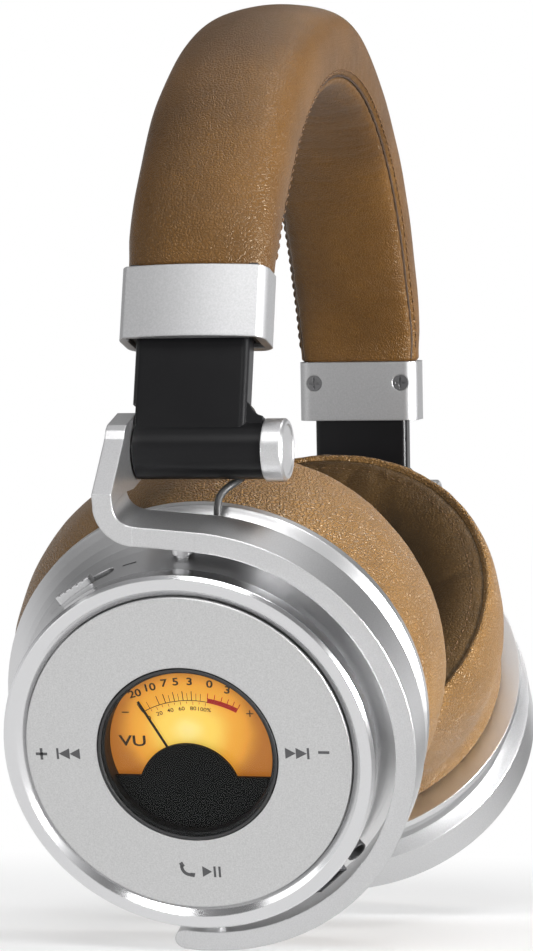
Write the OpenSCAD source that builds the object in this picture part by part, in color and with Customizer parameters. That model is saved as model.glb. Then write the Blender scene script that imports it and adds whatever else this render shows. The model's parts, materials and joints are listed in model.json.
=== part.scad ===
// Over ear headphones, millimetres. +Z up, the wearer looks along -Y, the wearer's right ear is at -X.
// Each cup hangs in a C-shaped yoke, the yoke folds on a barrel at the foot of a sliding stem.

/* [Headband] */
// half the distance between the two fold axes
hinge_half = 87; // [82:0.5:92]
// height of the headband's crown above the fold axes
band_top = 105.8; // [100:0.1:112]
// width of the padded band
band_w = 30; // [27.5:0.5:34]
// inward lean of the stems and collars
lean = 8; // [6:0.5:9]

/* [Pose] */
// how far the right yoke is folded in
fold_right = 22.4; // [0:0.1:35]
// how far the left yoke is folded in
fold_left = 33.6; // [0:0.1:35]

/* [Collar and stem] */
// width of the metal collar
collar_w = 30.2; // [29.8:0.1:32]
// height of the metal collar
collar_h = 14.7; // [13:0.1:17]
// width of the sliding stem
stem_w = 23.4; // [20:0.1:24]
// radius of the hinge barrel
barrel_r = 5.8; // [5:0.1:6.5]
// radius of the hinge pin
pin_r = 2; // [1.5:0.1:2.5]

/* [Yoke] */
// drop from the fold axis to the cup's centre
ring_drop = 54.7; // [54:0.1:58]
// distance from the fold axis out to the ring's face
ring_out = 21.2; // [18:0.1:23]
// outside radius of the ring
ring_r = 44.9; // [44.5:0.1:46]
// radial thickness of the ring and the arm
ring_t = 4.1; // [3:0.1:4.3]
// depth of the ring along the cup's axis
ring_depth = 10.9; // [9:0.1:11]

/* [Cup] */
// outside radius of the polished rim
rim_r = 37.6; // [36.8:0.1:37.8]
// radius of the satin face plate
plate_r = 33; // [31:0.1:33.3]
// radius of the meter's window
window_r = 17.6; // [16.5:0.1:18]
// outside radius of the flange on the head side
flange_r = 43.9; // [42.5:0.1:44.5]
// outside radius of the ear cushion
pad_r = 46.2; // [44:0.1:46.5]
// radius of the ear opening in the cushion
pad_hole_r = 21; // [19:0.5:24]
// how far the cushion reaches from the ring's face toward the head
pad_back = 56; // [50:0.1:56.5]
// how far the cushion leans to the wearer's rear
pad_tilt = 3; // [0:0.5:3.5]
// resting angle of the meter's needle, left of upright
needle_rest = 28.7; // [20:0.1:33]

/* [Jack] */
// radius of the headphone jack's bore
jack_r = 1.8; // [1.75:0.01:1.85]

/* [Hidden] */
$fn = 96;
NODES = ["band_cover", "band_pad", "band_foam", "spring_strip", "guide_right", "guide_left",
    "collar_right", "collar_left", "collar_screws", "stem_right", "stem_left",
    "hinge_pin_right", "hinge_pin_left", "hinge_cap_right", "hinge_cap_left",
    "yoke_right", "yoke_left", "pivot_pins_right", "pivot_pins_left", "shell_right", "shell_left",
    "rim_right", "rim_left", "face_plate_right", "face_plate_left",
    "meter_housing_right", "meter_housing_left", "meter_glass_right", "meter_glass_left",
    "meter_dial_right", "meter_dial_left", "meter_mask_right", "meter_mask_left",
    "needle_right", "needle_left", "movement_right", "movement_left",
    "baffle_right", "baffle_left", "baffle_screws_right", "baffle_screws_left",
    "driver_motor_right", "driver_motor_left", "diaphragm_right", "diaphragm_left",
    "grille_cloth_right", "grille_cloth_left", "pad_ring_right", "pad_ring_left",
    "ear_pad_right", "ear_pad_left", "cable_right", "cable_left", "plate_switches",
    "power_switch", "jack_socket", "charge_socket", "circuit_board", "battery"];
node = "all";
right = -1;
left = 1;

// puts the origin at the bottom centre of the bounding box
shift = [1.167, -2.145, 100.162];

// band thickness outside and inside its centreline, and its offset to the rear
band_t_out = 7.5;
band_t_in = 9;
band_y = 0.8;
cover_in = -5.8;
cut_shift = 0.05;

// collar's bottom and top, and the stem's offset outward from the fold axis
collar_z0 = 21.7;
collar_z1 = collar_z0 + collar_h;
stem_off = 1.5;

// band arc: one circle through the tops of both collars and the crown
arc_end_x = hinge_half + stem_off - 0.5 - collar_z1 * sin(lean);
arc_end_z = collar_z1 * cos(lean);
crown_z = band_top - band_t_out;
arc_a = 90 - 2 * atan((crown_z - arc_end_z) / arc_end_x);
arc_r = arc_end_x / cos(arc_a);
arc_z = crown_z - arc_r;
cover_a = arc_a + 0.9;

// stem, its thin upper blade, and the guide they slide in
travel_out = 12;
stem_t = 6;
stem_fit = 0.3;
thick_top = collar_z0 + 3 + travel_out;
blade_x = 1.2;
blade_t = 1.7;
blade_w = 16;
blade_fit = 0.4;
blade_top = 53;
slot_top = 43;
guide_top = 55;
collar_screw_y = 11;
collar_screw_z = 31.1;

// yoke: the ring's open end below, then a strip, a bend and the arm at the rear
arm_y = 14;
bend_r = 6;
ring_end_a = -97;
strip_a = 5.3;
inset = 0.05;
ring_mid_r = ring_r - ring_t / 2;
ring_in = ring_r - ring_t;
bend_x = bend_r - arm_y;
strip_len = (ring_mid_r * sin(strip_a) - (bend_x - bend_r * sin(strip_a))) / cos(strip_a);
bend_top = ring_mid_r * cos(strip_a) + strip_len * sin(strip_a) + bend_r * cos(strip_a);
arm_z = bend_top - ring_drop;

// swivel pins, above and below the cup
swivel_z = -ring_depth / 2;
pivot_r = 1.5;

// meter
meter_bore_r = 18.4;
dial_r = 16.9;
needle_pivot = [0, -9.3, 0];
needle_len = 21.4;
needle_tail = 3.2;
needle_w = 0.4;

// cup fittings
face_z = 4.6;
baffle_screw_ring = 34.9;
driver_r = 18.8;
pad_z = -25.2;
pad_front = 22.6;
plate_switch_spots = [[-26.4, 0], [25, 0], [0, 26], [0, -25.2]];

// ports and switch: angles up from the cup's front, and the ports' lean outward
jack_ang = -34;
usb_ang = -47;
port_lean = 30;
port_r = 38.6;
port_z = 1.2;
switch_ang = 122.5;
switch_z = -4.8;

// cable
cable_r = 0.75;
elbow_r = 3.6;
elbow_z = -11;

// --- Frames: drawn for the right side, mirrored for the left ---

module placed() { translate(shift) children(); }
module on_side(side) {
    placed()
        if (side < 0) children();
        else mirror([1, 0, 0]) children();
}
module fold_axis() { translate([-hinge_half, 0, 0]) children(); }
// Z along the stem, X inward, origin beside the fold axis
module slide_frame() {
    translate([-hinge_half - stem_off, band_y, 0]) rotate([0, lean, 0]) children();
}
// folded, origin on the fold axis, -X outward
module fold_frame(side) {
    fold_axis() rotate([0, side < 0 ? -fold_right : -fold_left, 0]) children();
}
// X to the wearer's front, Y up, Z outward, origin at the centre of the ring's face
module cup_frame(side) {
    fold_frame(side) translate([-ring_out, 0, -ring_drop]) rotate([90, 0, -90]) children();
}
module in_cup(side) { on_side(side) cup_frame(side) children(); }
module at_collar_screws() {
    for (y = [-1, 1])
        translate([0, y * collar_screw_y, collar_screw_z]) rotate([0, 90, 0]) children();
}

// the frames below lie in the cup frame
module at_swivels() {
    translate([0, 0, swivel_z]) for (turn = [0, 180]) rotate([0, 0, turn]) children();
}
module at_baffle_screws() {
    for (turn = [45:90:315]) rotate([0, 0, turn]) translate([baffle_screw_ring, 0, 0]) children();
}
module at_plate_switches() {
    for (p = plate_switch_spots) translate([p[0], p[1], 0]) children();
}
module switch_frame() { rotate([0, 0, switch_ang]) translate([0, 0, switch_z]) children(); }
module port_frame(angle) {
    rotate([0, 0, angle]) translate([port_r, 0, port_z]) rotate([0, 90 - port_lean, 0]) children();
}

// --- Shared shapes ---

// solid of revolution, points are [radius, height]
module turned(points) { rotate_extrude() polygon(points); }
module rounded_rect(w, h, r) {
    square([w - 2 * r, h], center = true);
    square([w, h - 2 * r], center = true);
    for (x = [-1, 1], y = [-1, 1]) translate([x * (w / 2 - r), y * (h / 2 - r)]) circle(r);
}
// round rod along Y
module rod_y(r, y0, y1) { translate([0, y1, 0]) rotate([90, 0, 0]) cylinder(r = r, h = y1 - y0); }
// block centred in Y only
module slab(x, z, size) { translate([x, -size[1] / 2, z]) cube(size); }

// --- Headband ---

// sweeps a section along the band from an angle above the horizontal, section X outward
module sweep(start_a) {
    translate([0, band_y, arc_z]) rotate([90, 0, 0]) rotate([0, 0, start_a])
        rotate_extrude(angle = 180 - 2 * start_a) translate([arc_r, 0]) children();
}
// section rounded on its outer side only
module dome(x0, x1, w, r) {
    translate([x0, -w / 2]) square([x1 - x0 - r, w]);
    translate([x0, -w / 2 + r]) square([x1 - x0, w - 2 * r]);
    for (y = [-1, 1]) translate([x1 - r, y * (w / 2 - r)]) circle(r, $fn = 12);
}

module band_cover() color([0.5, 0.36, 0.22]) placed() sweep(cover_a) difference() {
    dome(cover_in, band_t_out, band_w, 5);
    translate([-cut_shift, 0]) dome(cover_in, band_t_out - 1.3, band_w - 2.6, 1.5);
}
// one edge of the pad's section: [outward, half width on a 30 wide band]
pad_edge = [[-5.9, 13.6], [-7.6, 13.6], [-8.6, 13.1], [-band_t_in, 12]];
module band_pad() color([0.45, 0.32, 0.19]) placed() sweep(cover_a)
    polygon([for (k = [1, -1]) for (i = k > 0 ? [0, 1, 2, 3] : [3, 2, 1, 0])
        [pad_edge[i][0], k * pad_edge[i][1] * band_w / 30]]);
module band_foam() color([0.8, 0.8, 0.75]) placed()
    sweep(arc_a + 21) dome(-4.2, band_t_out - 1.5, band_w - 3, 3.8);
module spring_strip() color([0.6, 0.62, 0.65]) placed()
    sweep(arc_a + 7) translate([-5.6, -8]) square([1.2, 16]);

// --- Collar and stem ---

module guide(side) color([0.12, 0.12, 0.13]) on_side(side) slide_frame() difference() {
    union() {
        slab(-4.25, collar_z0 + 0.8, [8.3, 26.2, collar_h - 0.2]);
        slab(-3.6, collar_z1 - 0.5, [7.3, 25, slot_top - collar_z1 + 0.5]);
        slab(0.05, slot_top - 2, [3.6, 19, guide_top - slot_top + 2]);
    }
    slab(-(stem_t + stem_fit) / 2, 0, [stem_t + stem_fit, stem_w + stem_fit, slot_top - 1]);
    slab(blade_x - 0.15, 0, [blade_t + blade_fit, blade_w + blade_fit, 80]);
    at_collar_screws() translate([0, 0, 3.4]) cylinder(r = 0.92, h = 3);
}
module collar(side) color([0.78, 0.78, 0.79]) on_side(side) slide_frame() difference() {
    // the large circle crowns the outward face
    translate([0, 0, collar_z0]) linear_extrude(collar_h) intersection() {
        rounded_rect(13.2, collar_w, 3.2);
        translate([8, 0]) rounded_rect(29.2, collar_w, 4.8);
        translate([63.4, 0]) circle(70, $fn = 360);
    }
    slab(-4.5, 0, [8.7, 26.7, 60]);
    at_collar_screws() {
        cylinder(r = 0.95, h = 8);
        translate([0, 0, 5.2]) cylinder(r = 1.98, h = 3);
    }
}
// cross-slotted screws in the inward face
module collar_screws() color([0.35, 0.35, 0.36]) for (side = [right, left])
    on_side(side) slide_frame() at_collar_screws() difference() {
        union() {
            translate([0, 0, 3.45]) cylinder(r = 0.9, h = 2);
            translate([0, 0, 5.22]) cylinder(r = 1.93, h = 1.25);
        }
        for (turn = [0, 90]) rotate([0, 0, turn]) slab(-1.3, 5.9, [2.6, 0.5, 2]);
    }

// flare on the stem's front edge: [back from the edge, height]
stem_flare = [[3, 12], [3, 2], [-3.3, 2], [-3.3, 6.3], [-2.4, 6.6], [-1.3, 7.4], [-0.5, 8.8]];
module stem(side) color([0.06, 0.06, 0.065]) on_side(side) difference() {
    union() {
        slide_frame() linear_extrude(thick_top) rounded_rect(stem_t, stem_w, 1.4);
        slide_frame() slab(blade_x, thick_top - 2, [blade_t, blade_w, blade_top - thick_top + 2]);
        fold_axis() rod_y(barrel_r, -14.4, 11.6);
        slide_frame() translate([-2, -stem_w / 2, 0]) rotate([90, 0, 90])
            linear_extrude(4) polygon(stem_flare);
    }
    fold_axis() rod_y(pin_r + 0.05, -30, 30);
    // clears the yoke's arm behind the barrel
    slide_frame() translate([-8, 11.65 - band_y, -6]) cube([16, 4, 14.8]);
}
module hinge_pin(side) color([0.5, 0.5, 0.52]) on_side(side) fold_axis() rod_y(pin_r, -17, 15.8);
// cap on the front of the barrel, heights run forward
cap_profile = [[0, 14.6], [6.25, 14.6], [6.25, 18.4], [5.75, 18.9], [5.1, 18.9], [4.9, 18.7],
    [0, 18.7]];
module hinge_cap(side) color([0.8, 0.8, 0.81]) on_side(side) fold_axis() difference() {
    rotate([90, 0, 0]) turned(cap_profile);
    rod_y(pin_r + 0.02, -17.1, 0);
}

// --- Yoke ---

// arm seen along Y in the fold frame: [x, z], from the bend up around the fold axis
arm_outline = [[inset - ring_out, arm_z - 0.3], [inset - ring_out, arm_z + 2.6], [-8.8, 5.2],
    [-7.6, 6.6], [-6, 7.2], [2, 7.2], [5.2, 5.2], [6.5, 2.5], [6.5, -3], [3, -6.4], [-5, -6.4],
    [ring_depth - ring_out - inset, arm_z - 0.3]];
// ring and bend have the full section, the pieces joined to them are slightly inset
module yoke(side) color([0.72, 0.72, 0.73]) on_side(side) difference() {
    union() {
        cup_frame(side) {
            rotate([0, 0, ring_end_a]) rotate_extrude(angle = 90 - strip_a - ring_end_a)
                translate([ring_in, -ring_depth]) square([ring_t, ring_depth]);
            // round end of the ring
            rotate([0, 0, ring_end_a]) translate([ring_mid_r, 0, -ring_depth + inset])
                cylinder(r = ring_t / 2 - 0.1, h = ring_depth - 2 * inset);
            // straight strip
            translate([ring_mid_r * sin(strip_a), ring_mid_r * cos(strip_a), -ring_depth])
                rotate([0, 0, 180 - strip_a]) translate([-0.5, -ring_t / 2 + inset, inset])
                    cube([strip_len + 1, ring_t - 2 * inset, ring_depth - 2 * inset]);
            // bend down or up into the arm
            translate([bend_x, bend_top, -ring_depth]) rotate([0, 0, 180])
                rotate_extrude(angle = 90 - strip_a)
                    translate([bend_r - ring_t / 2, 0]) square([ring_t, ring_depth]);
        }
        fold_frame(side) translate([0, arm_y + ring_t / 2 - inset, 0]) rotate([90, 0, 0])
            linear_extrude(ring_t - 2 * inset) polygon(arm_outline);
    }
    fold_frame(side) rod_y(pin_r + 0.02, 0, 40);
    cup_frame(side) at_swivels() rod_y(pivot_r + 0.02, 38.6, 43.4);
}
module pivot_pins(side) color([0.1, 0.1, 0.1]) in_cup(side) at_swivels() {
    rod_y(pivot_r, 35.2, 43.2);
    rod_y(2.3, 38.75, 40.55);
}

// --- Cup shell and face ---

module port_cuts() {
    port_frame(jack_ang) translate([0, 0, -20]) cylinder(r = jack_r + 0.5, h = 40);
    port_frame(usb_ang) slab(-1.5, -9, [3, 7.8, 30]);
}

shell_profile = [[meter_bore_r, 0.6], [35, 0.6], [35, 1], [rim_r - 0.1, 1], [38, -4],
    [38.7, -9.5], [39.4, -12.5], [40.7, -15], [42.3, -17.3], [flange_r - 0.4, -18.9],
    [flange_r, -19.4], [flange_r, -21.4], [36.9, -21.4], [36.9, -19.6], [33, -19.6],
    [33, -13.5], [36, -12], [36, -1], [meter_bore_r, -1]];
module shell(side) color([0.75, 0.75, 0.76]) in_cup(side) difference() {
    union() {
        turned(shell_profile);
        at_swivels() rod_y(3.4, 33.9, 37.5);
    }
    at_swivels() {
        rod_y(pivot_r + 0.06, 30, 41);
        rod_y(2.7, 38.5, 42);
    }
    at_baffle_screws() translate([0, 0, -30]) cylinder(r = 1.02, h = 15.2);
    // hole in the top, ahead of centre
    translate([5.9, 0, -14.6]) rod_y(1.6, 30, 44);
    if (side < 0) {
        switch_frame() translate([34, 0, 0]) rotate([90, 0, 90]) linear_extrude(8) {
            square([10.5, 3.4], center = true);
            for (x = [-1, 1]) translate([x * 5.25, 0]) circle(1.7);
        }
        port_cuts();
        at_plate_switches() translate([0, 0, 0.1]) cylinder(r = 1, h = 2);
    }
}
module rim(side) color([0.85, 0.85, 0.86]) in_cup(side) difference() {
    turned([[plate_r + 0.2, 1.03], [rim_r, 1.03], [rim_r, 4.5], [rim_r - 0.6, 5.2],
        [plate_r + 1.8, 5.2], [plate_r + 0.2, 3.7]]);
    if (side < 0) port_cuts();
}
// the right plate is thin and stands clear of the shell, the left one is thick
plate_foot_right = [[meter_bore_r, 2.9], [plate_r, 2.9]];
plate_foot_left = [[meter_bore_r, 0.65], [plate_r + 0.1, 0.65], [plate_r + 0.1, 1.8],
    [plate_r, 1.8]];
plate_face = [[plate_r, face_z - 0.2], [plate_r - 0.2, face_z], [meter_bore_r, face_z]];
module face_plate(side) color([0.8, 0.8, 0.8]) in_cup(side)
    turned(concat(side < 0 ? plate_foot_right : plate_foot_left, plate_face));

// --- Meter ---

module meter_housing(side) color([0.06, 0.06, 0.06]) in_cup(side)
    turned([[0, -9], [window_r + 0.55, -9], [window_r + 0.55, 4.75], [window_r, 4.75],
        [window_r, 3.8], [17, 3.8], [17, -8.2], [0, -8.2]]);
module meter_glass(side) color([0.9, 0.95, 0.95, 0.3]) in_cup(side)
    translate([0, 0, 3.85]) cylinder(r = window_r - 0.05, h = 0.7);
module meter_dial(side) color([0.95, 0.65, 0.15]) in_cup(side)
    translate([0, 0, -0.6]) difference() {
        cylinder(r = dial_r, h = 0.6);
        translate(needle_pivot) translate([0, 0, -1]) cylinder(r = 1, h = 3);
    }
// covers the foot of the dial, with a round hump over the needle's pivot
module meter_mask(side) color([0.04, 0.04, 0.04]) in_cup(side)
    translate([0, 0, 1.1]) linear_extrude(0.8) intersection() {
        circle(dial_r);
        union() {
            translate([-20, -25]) square([40, 19.2]);
            translate([0.8 * side, needle_pivot[1]]) circle(10.4);
        }
    }
module needle(side) color([0.05, 0.05, 0.05]) in_cup(side) translate(needle_pivot) {
    translate([0, 0, -4.4]) cylinder(r = 0.5, h = 4.9);
    translate([0, 0, 0.2]) cylinder(r = 1.3, h = 0.7);
    rotate([0, 0, -side * needle_rest]) translate([-needle_w / 2, -needle_tail, 0.35])
        cube([needle_w, needle_len + needle_tail, 0.35]);
}
module movement(side) color([0.45, 0.3, 0.2]) in_cup(side)
    translate(needle_pivot) translate([0, 0, -7.8]) difference() {
        cylinder(r = 7.2, h = 6.8);
        translate([0, 0, 3]) cylinder(r = 0.56, h = 8);
    }

// --- Driver and cushion ---

module baffle(side) color([0.1, 0.1, 0.1]) in_cup(side) difference() {
    turned([[19.9, -21.3], [36.7, -21.3], [36.7, -19.65], [19.9, -19.65]]);
    at_baffle_screws() translate([0, 0, -30]) {
        cylinder(r = 1.1, h = 30);
        cylinder(r = 1.5, h = 9.6);
    }
}
module baffle_screws(side) color([0.3, 0.3, 0.3]) in_cup(side) at_baffle_screws() {
    translate([0, 0, -21.2]) cylinder(r = 1, h = 6);
    translate([0, 0, -21.35]) cylinder(r = 1.4, h = 0.9);
}
module driver_motor(side) color([0.3, 0.3, 0.32]) in_cup(side)
    turned([[0, -10.8], [12, -10.8], [12, -15.6], [19.75, -18.4], [19.75, -21.2],
        [driver_r + 0.1, -21.2], [driver_r + 0.1, -19.1], [11, -16.9], [0, -16.9]]);
module diaphragm(side) color([0.2, 0.2, 0.22]) in_cup(side)
    turned([[0, -18.2], [6, -18.8], [driver_r, -20.4], [driver_r, -20.8], [6, -19.2], [0, -18.6]]);
module grille_cloth(side) color([0.08, 0.08, 0.08]) in_cup(side)
    translate([0, 0, -22.2]) cylinder(r = 27.5, h = 0.7);
module pad_ring(side) color([0.1, 0.1, 0.1]) in_cup(side)
    turned([[28, -21.5], [35.6, -21.5], [35.6, -25.1], [28, -25.1]]);
// tilted about its seat, then cut flat there
module ear_pad(side) color([0.45, 0.31, 0.18]) in_cup(side) difference() {
    translate([-2, -0.6, pad_z]) rotate([0, pad_tilt, 0]) translate([0, 0, -pad_z])
        rotate_extrude() translate([(pad_r + pad_hole_r) / 2, -(pad_front + pad_back) / 2])
            rounded_rect(pad_r - pad_hole_r, pad_back - pad_front, 11);
    slab(-60, pad_z, [120, 120, 40]);
}

// rises beside the hinge, then turns through an elbow
module cable(side) color([0.03, 0.03, 0.03]) on_side(side) fold_frame(side)
    translate([-6.6, -5.9, 0]) rotate([0, 0, -32.8]) {
        translate([0, 0, elbow_z - 6]) cylinder(r = cable_r, h = 6);
        translate([elbow_r, 0, elbow_z]) rotate([90, 0, 0]) rotate([0, 0, 90])
            rotate_extrude(angle = 90) translate([elbow_r, 0]) circle(cable_r);
        translate([elbow_r, 0, elbow_z + elbow_r]) rotate([0, 90, 0])
            cylinder(r = cable_r, h = 5.4);
    }

// --- Parts fitted on one side only ---

module plate_switches() color([0.6, 0.6, 0.62]) in_cup(right)
    at_plate_switches() translate([0, 0, 0.15]) {
        cylinder(r = 0.9, h = 1);
        translate([0, 0, 0.5]) cylinder(r = 1.9, h = 1.8);
    }
module power_switch() color([0.7, 0.7, 0.7]) in_cup(right)
    switch_frame() translate([0, 2.3, 0]) difference() {
        translate([35, 0, 0]) rotate([90, 0, 90]) linear_extrude(4.3) rounded_rect(8.6, 2.9, 0.9);
        for (y = [-3:1.5:3]) translate([0, y, 0]) slab(39.1, -3, [1, 0.5, 6]);
    }
module jack_socket() color([0.15, 0.15, 0.16]) in_cup(right) port_frame(jack_ang) difference() {
    translate([0, 0, -16]) cylinder(r = jack_r + 0.4, h = 16);
    translate([0, 0, -14]) cylinder(r = jack_r, h = 20);
}
module charge_socket() color([0.55, 0.55, 0.57]) in_cup(right) port_frame(usb_ang) difference() {
    slab(-1.4, -7, [2.8, 7.6, 6.8]);
    slab(-1, -6, [2, 7, 8]);
}
module circuit_board() color([0.1, 0.35, 0.2]) in_cup(right)
    translate([0, 0, -10.4]) difference() {
        cylinder(r = 32.8, h = 1.2);
        translate([0, 0, -1]) cylinder(r = 20, h = 4);
    }
module battery() color([0.7, 0.7, 0.72]) in_cup(left)
    translate([-13, -31.4, -8.4]) cube([26, 9, 6]);

// --- Nodes ---

function on(name) = node == "all" || node == name;

if (on("band_cover")) band_cover();
if (on("band_pad")) band_pad();
if (on("band_foam")) band_foam();
if (on("spring_strip")) spring_strip();
if (on("guide_right")) guide(right);
if (on("guide_left")) guide(left);
if (on("collar_right")) collar(right);
if (on("collar_left")) collar(left);
if (on("collar_screws")) collar_screws();
if (on("stem_right")) stem(right);
if (on("stem_left")) stem(left);
if (on("hinge_pin_right")) hinge_pin(right);
if (on("hinge_pin_left")) hinge_pin(left);
if (on("hinge_cap_right")) hinge_cap(right);
if (on("hinge_cap_left")) hinge_cap(left);
if (on("yoke_right")) yoke(right);
if (on("yoke_left")) yoke(left);
if (on("pivot_pins_right")) pivot_pins(right);
if (on("pivot_pins_left")) pivot_pins(left);
if (on("shell_right")) shell(right);
if (on("shell_left")) shell(left);
if (on("rim_right")) rim(right);
if (on("rim_left")) rim(left);
if (on("face_plate_right")) face_plate(right);
if (on("face_plate_left")) face_plate(left);
if (on("meter_housing_right")) meter_housing(right);
if (on("meter_housing_left")) meter_housing(left);
if (on("meter_glass_right")) meter_glass(right);
if (on("meter_glass_left")) meter_glass(left);
if (on("meter_dial_right")) meter_dial(right);
if (on("meter_dial_left")) meter_dial(left);
if (on("meter_mask_right")) meter_mask(right);
if (on("meter_mask_left")) meter_mask(left);
if (on("needle_right")) needle(right);
if (on("needle_left")) needle(left);
if (on("movement_right")) movement(right);
if (on("movement_left")) movement(left);
if (on("baffle_right")) baffle(right);
if (on("baffle_left")) baffle(left);
if (on("baffle_screws_right")) baffle_screws(right);
if (on("baffle_screws_left")) baffle_screws(left);
if (on("driver_motor_right")) driver_motor(right);
if (on("driver_motor_left")) driver_motor(left);
if (on("diaphragm_right")) diaphragm(right);
if (on("diaphragm_left")) diaphragm(left);
if (on("grille_cloth_right")) grille_cloth(right);
if (on("grille_cloth_left")) grille_cloth(left);
if (on("pad_ring_right")) pad_ring(right);
if (on("pad_ring_left")) pad_ring(left);
if (on("ear_pad_right")) ear_pad(right);
if (on("ear_pad_left")) ear_pad(left);
if (on("cable_right")) cable(right);
if (on("cable_left")) cable(left);
if (on("plate_switches")) plate_switches();
if (on("power_switch")) power_switch();
if (on("jack_socket")) jack_socket();
if (on("charge_socket")) charge_socket();
if (on("circuit_board")) circuit_board();
if (on("battery")) battery();
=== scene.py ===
"""Over-ear headphones with a lit VU meter on each cup: leather, markings, materials and studio.

World: metres, +Z up, above a floor at z = 0. The wearer faces -Y, with the right cup at -X.
Sizes are in millimetres unless a name or comment says otherwise.
Cup frame: X to the wearer's front, Y up, Z outward, from the centre of the yoke ring's face.
"""
import json
import math

import bpy
import bmesh
import numpy as np
from mathutils import Matrix, Vector, noise


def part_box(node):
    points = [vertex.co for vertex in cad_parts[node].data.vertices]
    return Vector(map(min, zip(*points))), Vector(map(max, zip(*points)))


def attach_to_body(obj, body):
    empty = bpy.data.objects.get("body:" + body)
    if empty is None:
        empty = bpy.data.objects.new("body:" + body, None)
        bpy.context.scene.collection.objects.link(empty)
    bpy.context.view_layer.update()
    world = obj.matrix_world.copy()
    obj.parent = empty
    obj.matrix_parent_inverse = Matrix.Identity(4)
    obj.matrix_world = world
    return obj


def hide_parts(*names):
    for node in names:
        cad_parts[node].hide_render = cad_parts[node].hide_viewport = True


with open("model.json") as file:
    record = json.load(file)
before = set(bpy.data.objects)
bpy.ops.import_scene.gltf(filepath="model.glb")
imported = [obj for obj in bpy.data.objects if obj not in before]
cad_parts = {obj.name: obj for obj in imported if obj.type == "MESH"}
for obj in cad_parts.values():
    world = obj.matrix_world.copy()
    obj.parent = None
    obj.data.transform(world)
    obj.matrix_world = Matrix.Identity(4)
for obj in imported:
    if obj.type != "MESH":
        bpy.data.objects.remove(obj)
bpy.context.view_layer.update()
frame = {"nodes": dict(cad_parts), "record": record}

nodes = frame["nodes"]
scene = bpy.context.scene
JOINTS = {joint["name"]: joint for joint in frame["record"]["behaviour"]["joints"]}
SIDES = {"right": -1, "left": 1}  # sign of each cup's world X
MM = 0.001
TAU = 2 * math.pi


# ---------------------------------------------------------------- vectors and frames
def vec(values):
    return np.array(values, float)


def unit(values):
    return vec(values) / np.linalg.norm(vec(values))


def ease(x):
    """Smooth step from 0 to 1"""
    x = min(1.0, max(0.0, x))
    return x * x * (3 - 2 * x)


def soft_noise(point, seed):
    x, y, z = point
    return noise.noise(Vector((x + seed, y + seed * 1.7, z - seed)))


NEEDLE_TO_FACE = 5.45  # from the swivel axis out to the ring's face


def cup_frame(side, sign):
    """Origin (m) and axes of a cup; the left cup's frame mirrors the right's"""
    outward = -unit(JOINTS["needle_" + side]["axis"])
    up = -sign * unit(JOINTS["swivel_" + side]["axis"])
    front = np.cross(up, outward) * -sign
    origin = vec(JOINTS["swivel_" + side]["pos_m"]) + outward * NEEDLE_TO_FACE * MM
    return origin, np.stack([front, up, outward])


CUPS = {side: cup_frame(side, sign) for side, sign in SIDES.items()}


def cup(side, points):
    """World place of points in a cup's frame"""
    origin, axes = CUPS[side]
    return origin + (np.asarray(points, float) @ axes) * MM


def face(side, x, y, z):
    """World place on a cup's outer face, with x to the right of a viewer facing it"""
    return cup(side, (-SIDES[side] * x, y, z))


# ---------------------------------------------------------------- meshes: a part is (verts, faces)
def link(name, part, material, smooth=True):
    verts, faces = part
    mesh = bpy.data.meshes.new(name)
    mesh.from_pydata([tuple(v) for v in verts], [], faces)
    mesh.validate()
    bm = bmesh.new()
    bm.from_mesh(mesh)
    bmesh.ops.recalc_face_normals(bm, faces=bm.faces)
    bm.to_mesh(mesh)
    bm.free()
    mesh.polygons.foreach_set("use_smooth", [smooth] * len(mesh.polygons))
    mesh.materials.append(MATERIALS[material])
    ob = bpy.data.objects.new(name, mesh)
    scene.collection.objects.link(ob)
    return ob


def attach(ob, piece, replaces=None):
    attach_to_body(ob, piece)
    if replaces:
        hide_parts(replaces)


def join(parts):
    verts, faces = [], []
    for part_verts, part_faces in parts:
        base = len(verts)
        verts += list(part_verts)
        faces += [tuple(i + base for i in f) for f in part_faces]
    return verts, faces


def grid_faces(rows, columns, close_rows=False, close_columns=False):
    faces = []
    for i in range(rows if close_rows else rows - 1):
        for j in range(columns if close_columns else columns - 1):
            a, b = i * columns, (i + 1) % rows * columns
            k = (j + 1) % columns
            faces.append((a + j, b + j, b + k, a + k))
    return faces


def chaikin(points, rounds):
    """Round a polyline by cutting its corners, keeping both ends"""
    points = np.asarray(points, float)
    for _ in range(rounds):
        cut = [points[0]]
        for a, b in zip(points[:-1], points[1:]):
            cut += [a * 0.75 + b * 0.25, a * 0.25 + b * 0.75]
        cut.append(points[-1])
        points = np.array(cut)
    return points


def resample(points, count):
    """Even spacing along a polyline"""
    steps = np.linalg.norm(np.diff(points, axis=0), axis=1)
    run = np.r_[0, np.cumsum(steps)]
    even = np.linspace(0, run[-1], count)
    return np.stack([np.interp(even, run, points[:, k]) for k in range(points.shape[1])], 1)


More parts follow.
